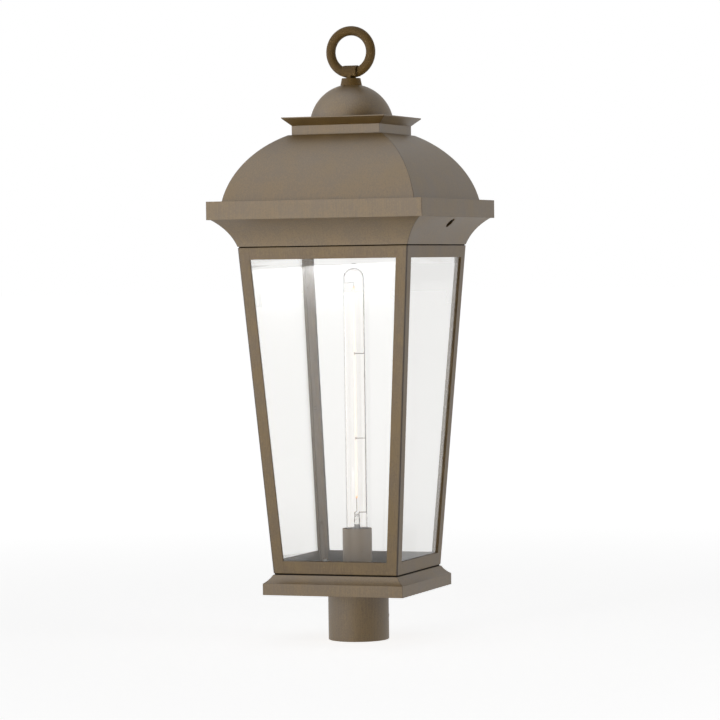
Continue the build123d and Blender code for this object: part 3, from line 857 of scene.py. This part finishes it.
# ---- Sub-assemblies
@dataclass
class Base:
    """The fitter, its flange, the moulded base and their screws."""

    fitter_screw: Screw = Screw(4.2 * MM, 3.0 * MM, 2.5 * MM, 7.8 * MM)
    fitter_screw_circle: float = 46.625 * MM
    fitter_screw_seat: float = 87.8 * MM
    fitter_screw_first: float = 45.0
    cage_screw: Screw = Screw(3.4 * MM, 2.6 * MM, 2.0 * MM, 10.0 * MM)
    cage_screw_across: float = 77.1 * MM
    cage_screw_seat: float = 97.9 * MM

    def dress(self) -> None:
        """Give the nodes their finish and the screws their heads."""
        PAINT.dress_nodes(Finish.COAT, "fitter_tube", "fitter_flange", "base_plate")
        PAINT.dress_nodes(Finish.MITRED_COAT, "base_moulding")
        PAINT.dress_nodes(Finish.FLOOR_COAT, "floor_pan")
        PAINT.dress_nodes(Finish.ZINC, "post_set_screw_left", "post_set_screw_right")
        self.fitter_screws()
        self.cage_screws()

    def fitter_screws(self) -> None:
        """Make the four screws that hold the flange, their heads down."""
        seat = standing((self.fitter_screw_circle, 0, self.fitter_screw_seat), (0, 0, -1))
        places = four_round(seat, self.fitter_screw_first)
        make_screws("fitter_flange_screws", Finish.ZINC, self.fitter_screw, places, "fitter_screws")

    def cage_screws(self) -> None:
        """Make the four screws in the feet of the corner posts."""
        across = self.cage_screw_across
        places = four_round(standing((across, -across, self.cage_screw_seat), (0, 0, 1)))
        make_screws("cage_foot_screws", Finish.ZINC, self.cage_screw, places, "cage_screws")


@dataclass
class Cage:
    """The leaning posts, the rails, the panes and what holds the panes."""

    low: float = 95.9 * MM
    high: float = 533.8 * MM
    low_half_width: float = 88.6 * MM
    high_half_width: float = 120.5 * MM
    web_from_corner: float = 16.297 * MM
    retainer_screw: Screw = Screw(2.6 * MM, 1.8 * MM, 1.5 * MM, 7.2 * MM)
    screw_heights: tuple[float, ...] = (150 * MM, 310 * MM, 480 * MM)

    def dress(self) -> None:
        """Give the nodes their finish and make the retainers' screws."""
        rails = [f"{rail}_{side}" for side in SIDES for rail in ("bottom_rail", "top_rail")]
        posts = [f"corner_post_{corner}" for corner in CORNERS]
        PAINT.dress_nodes(Finish.CAGE_COAT, *rails, *posts)
        PAINT.dress_nodes(Finish.COAT, "glass_retainers")
        PAINT.dress_nodes(Finish.PANE, *(f"glass_pane_{side}" for side in SIDES))
        PAINT.dress_nodes(Finish.SCREW_COAT, "roof_lock_screw_left", "roof_lock_screw_right")
        self.retainer_screws()

    def slope(self) -> float:
        """Give how far the cage widens on each side for each unit of height."""
        return (self.high_half_width - self.low_half_width) / (self.high - self.low)

    def retainer_screws(self) -> None:
        """Make the twelve screws that draw the retainers into the corners."""
        tilt = math.atan(self.slope() * math.sqrt(2))
        flat = math.cos(tilt) / math.sqrt(2)
        inward = (-flat, flat, math.sin(tilt))
        places = []
        for height in self.screw_heights:
            corner = self.low_half_width + (height - self.low) * self.slope()
            across = corner - self.web_from_corner / 2
            places += four_round(standing((across, -across, height), inward))
        screw, replaced = self.retainer_screw, "glass_retainer_screws"
        make_screws("retainer_screws", Finish.SCREW_COAT, screw, places, replaced)


@dataclass
class Holder:
    """The tubular cover and the lampholder inside it."""

    floor: float = 112.0 * MM
    top: float = 141.0 * MM
    shell_radius: float = 14.2 * MM
    shell_wall: float = 0.35 * MM
    thread_depth: float = 0.15 * MM

    def dress(self) -> None:
        """Give the nodes their finish and make the threaded shell."""
        PAINT.dress_nodes(Finish.COAT, "socket_cover")
        PAINT.dress_nodes(Finish.PORCELAIN, "lampholder_body")
        PAINT.dress_nodes(Finish.BRASS, "lampholder_contact")
        PAINT.dress_nodes(Finish.ZINC, "socket_nipple", "nipple_nut")
        shell = Piece("lampholder_screw_shell", Finish.BRASS, "lantern_body")
        sizes = (self.floor, self.top, self.shell_radius, self.thread_depth, self.shell_wall)
        RolledThread(*sizes).build(shell)
        shell.finish_up(["lampholder_shell"])


@dataclass
class Lamp:
    """The long tubular lamp: threaded base, stem, three filament rods and their wires."""

    base_low: float = 122.5 * MM
    base_high: float = 143.0 * MM
    base_radius: float = 13.1 * MM
    base_wall: float = 0.4 * MM
    base_floor_radii: Point = (9.0 * MM, 12.4 * MM)
    thread_above_floor: float = 2.0 * MM
    thread_depth: float = 0.65 * MM
    stem_low: float = 126.0 * MM
    stem_high: float = 165.0 * MM
    stem_steps: int = 32
    flare_mm: tuple[Point, ...] = (
        (12.5, 126.0), (12.5, 128.0), (11.2, 128.6), (7.6, 130.4), (6.0, 134.0), (5.0, 142.0),
    )
    shaft_mm: tuple[Point, ...] = (
        (4.4, 150.0), (4.0, 154.0), (4.0, 157.0), (4.1, 160.0), (4.1, 163.4), (3.4, 165.0),
    )
    pressed_from: float = 150.0 * MM
    pressed_over: float = 8.0 * MM
    pressed_by: float = 0.55
    rod_ends: tuple[float, ...] = (190.0 * MM, 273.7 * MM, 388.8 * MM, 482.0 * MM)
    rod_radius: float = 1.4 * MM
    rod_gap: float = 2.2 * MM
    rod_rounding: float = 0.5 * MM
    rod_tip_share: float = 0.7
    rod_steps: int = 20
    tab_size: Place = (1.1 * MM, 0.3 * MM, 3.0 * MM)
    tab_rounding: float = 0.08 * MM
    tab_gap: float = 1.2 * MM
    wire_radius: float = 0.5 * MM
    wire_bend: float = 2.0 * MM
    wires_turn: float = 20.0
    lead_across: float = 3.0 * MM
    lead_in_stem: float = 6.0 * MM
    side_wire: float = 12.9 * MM
    bracket_high: float = 173.0 * MM
    dome_low: float = 491.0 * MM
    dome_step: int = 15
    hook_above_rod: float = 3.0 * MM

    def dress(self) -> None:
        """Give the nodes their finish and make the lamp's inner pieces."""
        PAINT.dress_nodes(Finish.SOLDER, "lamp_tip")
        PAINT.dress_nodes(Finish.BLACK_GLASS, "lamp_insulator")
        PAINT.dress_nodes(Finish.LAMP_GLASS, "lamp_glass")
        self.screw_base()
        self.stem()
        self.filaments()
        self.tabs()
        self.wires()

    def screw_base(self) -> None:
        """Make the thin shell with its rolled thread and closed lower end."""
        shell = Piece("lamp_screw_base", Finish.NICKEL, "lamp")
        low, wall = self.base_low, self.base_wall
        mouth, floor = self.base_floor_radii
        sizes = (self.base_high, self.base_radius, self.thread_depth, wall)
        thread = RolledThread(low + self.thread_above_floor, *sizes)
        thread.build(shell, [(floor, low + wall), (mouth, low + wall), (mouth, low), (floor, low)])
        shell.finish_up(["lamp_base_shell"])

    def stem(self) -> None:
        """Make the flared glass stem, pressed flat where the wires pass through it."""
        stem = Piece("lamp_pressed_stem", Finish.STEM, "lamp")
        side = [(radius * MM, height * MM) for radius, height in self.flare_mm + self.shaft_mm]
        outline = [(0.0, self.stem_low), *side, (0.0, self.stem_high)]
        stem.lathe(outline, self.stem_steps, closed=False)
        for vert in stem.mesh.verts:
            pressed = eased((vert.co.z - self.pressed_from) / self.pressed_over)
            vert.co.y *= 1 - self.pressed_by * pressed
        stem.turn(self.wires_turn)
        stem.finish_up(["lamp_stem"])

    def filaments(self) -> None:
        """Make the coated rods."""
        rods = Piece("filament_rods", Finish.FILAMENT, "lamp")
        radius, tip = self.rod_radius, self.rod_radius * self.rod_tip_share
        for start, end in zip(self.rod_ends, self.rod_ends[1:]):
            low, high = start + self.rod_gap, end - self.rod_gap
            outline = [(0, low), (tip, low), (radius, low + self.rod_rounding)]
            outline += [(radius, high - self.rod_rounding), (tip, high), (0, high)]
            rods.lathe(outline, self.rod_steps, closed=False)
        rods.finish_up(["lamp_filaments"])

    def tabs(self) -> None:
        """Make the flat metal tabs at the rods' ends."""
        tab = bmesh.new()
        bmesh.ops.create_cube(tab, size=1.0)
        bmesh.ops.scale(tab, vec=self.tab_size, verts=tab.verts)
        bmesh.ops.bevel(
            tab, geom=tab.edges[:], offset=self.tab_rounding, segments=2, profile=0.5,
            affect="EDGES", material=-1,
        )
        pairs = zip(self.rod_ends, self.rod_ends[1:])
        heights = [z for low, high in pairs for z in (low + self.tab_gap, high - self.tab_gap)]
        tabs = Piece("filament_end_tabs", Finish.WIRE, "lamp")
        tabs.join(tab, [Matrix.Translation((0, 0, height)) for height in heights])
        tabs.turn(self.wires_turn)
        tabs.finish_up()

    def wires(self) -> None:
        """Make the wire over the dome, the short wire, the two bridges and the stem's braces."""
        wires = Piece("lamp_support_wires", Finish.WIRE, "lamp")
        for route in (self.long_route(), self.short_route(), *self.bridges(), *self.braces()):
            wires.mesh.from_mesh(self.wire_mesh(route))
        wires.turn(self.wires_turn)
        wires.finish_up(["lamp_wires"], smooth_below=70.0)

    def long_route(self) -> list[Point]:
        """Find the way of the wire that runs up the side and over the dome to the top rod.

        Returns:
            The control points of its curve.
        """
        side, bend, lead = self.side_wire, self.wire_bend, self.lead_across
        jog, dome, last = self.bracket_high, self.dome_low, self.rod_ends[-1]
        hook = last + self.hook_above_rod
        angles = [math.radians(degrees) for degrees in range(self.dome_step, 180, self.dome_step)]
        return [
            (lead, self.stem_high - self.lead_in_stem),
            (lead, self.stem_high),
            (lead, jog - bend),
            (lead, jog),
            (lead + bend, jog),
            (side - bend, jog),
            (side, jog),
            (side, jog + bend),
            (side, 0.35 * dome + 0.65 * jog),
            (side, 0.7 * dome + 0.3 * jog),
            (side, dome),
            *((side * math.cos(angle), dome + side * math.sin(angle)) for angle in angles),
            (-side, dome),
            (-side, hook + bend),
            (-side, hook),
            (-side + bend, hook - 0.3 * MM),
            (-bend, hook + 0.6 * MM),
            (0, hook + 0.4 * MM),
            (0, hook - bend),
            (0, last - bend),
        ]

    def short_route(self) -> list[Point]:
        """Find the way of the wire from the stem to the lowest rod.

        Returns:
            The control points of its curve.
        """
        jog, bend, lead = self.bracket_high, self.wire_bend, self.lead_across
        return [
            (-lead, self.stem_high - self.lead_in_stem),
            (-lead, self.stem_high),
            (-lead, jog - bend),
            (-lead, jog),
            (-1 * MM, jog + 0.5 * MM),
            (0, jog + bend),
            (0, jog + 3 * bend),
            (0, self.rod_ends[0] + bend),
        ]

    def bridges(self) -> list[list[Point]]:
        """Give the ways of the wires from the joints between rods to the side wire."""
        side, joints = self.side_wire, self.rod_ends[1:-1]
        return [[(0, z), (side / 2, z + 0.3 * MM), (side, z)] for z in joints]

    def braces(self) -> list[list[Point]]:
        """Find the ways of the two short wires that tie the leads above the stem.

        Returns:
            The control points of their curves.
        """
        lead, low = self.lead_across, self.stem_high
        ties = ((2.6 * MM, -1 * MM, 3.2 * MM), (5.4 * MM, 1 * MM, 5.0 * MM))
        return [
            [(-lead, low + end), (middle, low + sag), (lead, low + end)]
            for end, middle, sag in ties
        ]

    def wire_mesh(self, route: Sequence[Point]) -> bpy.types.Mesh:
        """Run a round wire along a smooth curve in the plane of x and z.

        Args:
            route: The curve's control points.

        Returns:
            The wire's mesh.
        """
        curve = bpy.data.curves.new("wire", "CURVE")
        curve.dimensions = "3D"
        curve.bevel_depth = self.wire_radius
        curve.bevel_resolution = 2
        curve.resolution_u = 5
        curve.use_fill_caps = True
        spline = curve.splines.new("NURBS")
        spline.points.add(len(route) - 1)
        for point, (x, z) in zip(spline.points, route):
            point.co = (x, 0.0, z, 1.0)
        spline.order_u = 3
        spline.use_endpoint_u = True
        holder = bpy.data.objects.new("wire", curve)
        mesh = bpy.data.meshes.new_from_object(holder)
        bpy.data.objects.remove(holder)
        return mesh


@dataclass
class Roof:
    """The cornice, the curved panels, the seat under them, the crown and the cap."""

    def dress(self) -> None:
        """Give the nodes their finish."""
        panels = [f"{part}_{side}" for side in SIDES for part in ("cornice", "roof_panel")]
        PAINT.dress_nodes(Finish.MITRED_COAT, *panels, "crown_collar", "crown_eave")
        PAINT.dress_nodes(Finish.SEAT_COAT, "roof_skirt")
        PAINT.dress_nodes(Finish.COAT, "crown_crossbar", "cap_dome")
        PAINT.dress_nodes(Finish.ZINC, "finial_rod", "finial_nut")


@dataclass
class Finial:
    """The neck, the strap and the ring that tilts in it."""

    def dress(self) -> None:
        """Give the nodes their finish."""
        PAINT.dress_nodes(Finish.CAST_COAT, "finial_neck", "finial_strap", "finial_ring")


# ---- Studio
@dataclass(frozen=True)
class SoftLamp:
    """A large square lamp that faces a point."""

    name: str
    place: Place
    size: float
    power: float
    aim: Place = (0.0, 0.0, 0.42)

    def build(self) -> None:
        """Put the lamp in the scene."""
        data = bpy.data.lights.new(self.name, "AREA")
        data.shape = "SQUARE"
        data.size = self.size
        data.energy = self.power
        lamp = add_object(self.name, data)
        lamp.location = self.place
        facing = Vector(self.aim) - Vector(self.place)
        lamp.rotation_euler = facing.to_track_quat("-Z", "Y").to_euler()
        lamp.visible_camera = False
        lamp.visible_transmission = False
        lamp.visible_glossy = False
        LOG.info("lamp %s at %s", self.name, self.place)


@dataclass
class Studio:
    """A pale floor, bright surroundings that are dimmer on the camera's side, lamps and a camera.

    A way is a direction, and a level is how bright the surroundings are there. The ends say
    where one level eases into the next, in metres or as a share of a way.
    """

    lamps: tuple[SoftLamp, ...] = (
        SoftLamp("key_front_left", (-2.1, -3.4, 2.0), 3.4, 7.5),
        SoftLamp("low_front", (-1.3, -3.6, 0.2), 0.5, 34.0, (0.0, 0.0, 0.1)),
        SoftLamp("fill_right", (2.6, -0.3, 0.35), 1.2, 13.0),
    )
    floor_radius: float = 60.0
    floor_steps: int = 64
    floor_colour: Colour = (0.8, 0.8, 0.8)
    floor_lift: Point = (0.83, 0.96)
    floor_lift_ends: Point = (0.5, 3.0)
    floor_mirrored: Point = (0.85, 2.2)
    floor_mirrored_ends: Point = (-0.4, 1.6)
    bright_way: Place = (-0.43, -0.75, 0.5)
    bright_ends: Point = (0.1, 0.8)
    bright_level: float = 1.7
    side_level: float = 0.74
    dark_way: Place = (0.74, -0.67, 0.0)
    dark_ends: Point = (0.45, 0.9)
    dark_level: float = 0.05
    even_level: float = 0.1

    def build(self) -> None:
        """Make the studio."""
        for lamp in self.lamps:
            lamp.build()
        self.floor()
        self.world()
        Camera().build()

    def floor(self) -> None:
        """Make the floor, which the camera sees as white with the object's shadow on it."""
        mesh = bmesh.new()
        bmesh.ops.create_circle(
            mesh, cap_ends=True, segments=self.floor_steps, radius=self.floor_radius
        )
        data = bpy.data.meshes.new("floor")
        mesh.to_mesh(data)
        mesh.free()
        made = add_object("floor", data)
        material, nodes = new_material("pale_floor")
        place = nodes.place()
        away = nodes.vectors("LENGTH", {0: place}, "Value")
        ahead = nodes.along(place, self.bright_way)
        seen, glossy = self.rays(nodes)
        mirrored = glossy * nodes.remap(ahead, self.floor_mirrored_ends, self.floor_mirrored)
        lift = seen.maximum(mirrored) * nodes.remap(away, self.floor_lift_ends, self.floor_lift)
        plain = nodes.add("ShaderNodeBsdfDiffuse", inputs={"Color": (*self.floor_colour, 1.0)})
        glow = nodes.add("ShaderNodeEmission", inputs={"Strength": lift})
        nodes.finish(nodes.add("ShaderNodeAddShader", inputs={0: plain, 1: glow}))
        data.materials.append(material)

    @staticmethod
    def rays(nodes: Nodes) -> tuple[Signal, Signal]:
        """Tell rays apart.

        Args:
            nodes: The tree that asks.

        Returns:
            1 for a ray from the camera, straight or through glass, and 1 for a mirrored ray.
        """
        camera = nodes.add("ShaderNodeLightPath", output="Is Camera Ray")
        seen = camera.maximum(camera.sibling("Is Transmission Ray"))
        return seen, camera.sibling("Is Glossy Ray")

    def world(self) -> None:
        """Light the object from all round, less from the camera's side."""
        world = bpy.data.worlds.new("studio")
        world.use_nodes = True
        world.cycles.sampling_method = "NONE"
        bpy.context.scene.world = world
        nodes = Nodes(world.node_tree)
        way = nodes.add("ShaderNodeTexCoord", output="Generated")
        bright, dark = (nodes.along(way, towards) for towards in (self.bright_way, self.dark_way))
        lit = nodes.remap(bright, self.bright_ends, (self.side_level, self.bright_level))
        mirrored = lit * nodes.remap(dark, self.dark_ends, (1.0, self.dark_level))
        seen, glossy = self.rays(nodes)
        level = glossy * mirrored + (1 - glossy) * self.even_level
        inputs = {"Color": (1.0, 1.0, 1.0, 1.0), "Strength": seen + (1 - seen) * level}
        light = nodes.add("ShaderNodeBackground", inputs=inputs)
        nodes.add("ShaderNodeOutputWorld", inputs={"Surface": light})


@dataclass(frozen=True)
class Camera:
    """The photograph's camera, found from the lantern's own square edges."""

    azimuth: float = math.radians(20.4351)
    distance: float = 4.51474
    height: float = 0.508105
    pitch: float = math.radians(-1.62779)
    yaw: float = math.radians(0.084619)
    roll: float = math.radians(-0.806980)
    lens_mm: float = 166.192
    sensor_mm: float = 36.0
    reach: float = 200.0

    def build(self) -> None:
        """Put the camera in the scene."""
        sine, cosine = math.sin(self.azimuth), math.cos(self.azimuth)
        ahead = Vector((-sine, cosine, 0))
        right = Vector((cosine, sine, 0))
        level = ahead * math.cos(self.yaw) + right * math.sin(self.yaw)
        side = right * math.cos(self.yaw) - ahead * math.sin(self.yaw)
        look = level * math.cos(self.pitch) + Vector((0, 0, math.sin(self.pitch)))
        above = side.cross(look)
        x_axis = side * math.cos(self.roll) + above * math.sin(self.roll)
        y_axis = above * math.cos(self.roll) - side * math.sin(self.roll)
        turn = Matrix((x_axis, y_axis, -look)).transposed().to_4x4()
        place = Vector((self.distance * sine, -self.distance * cosine, self.height))
        data = bpy.data.cameras.new("camera")
        data.lens = self.lens_mm
        data.sensor_width = self.sensor_mm
        data.clip_end = self.reach
        camera = add_object("camera", data)
        camera.matrix_world = Matrix.Translation(place) @ turn
        bpy.context.scene.camera = camera


def main() -> None:
    """Dress the lantern and build its studio."""
    bpy.context.scene.view_settings.view_transform = "Standard"
    for part in (Base(), Cage(), Holder(), Lamp(), Roof(), Finial()):
        part.dress()
    Studio().build()


if __name__ == "__main__":
    logging.basicConfig(level=logging.INFO, format="%(name)s: %(message)s")
    main()
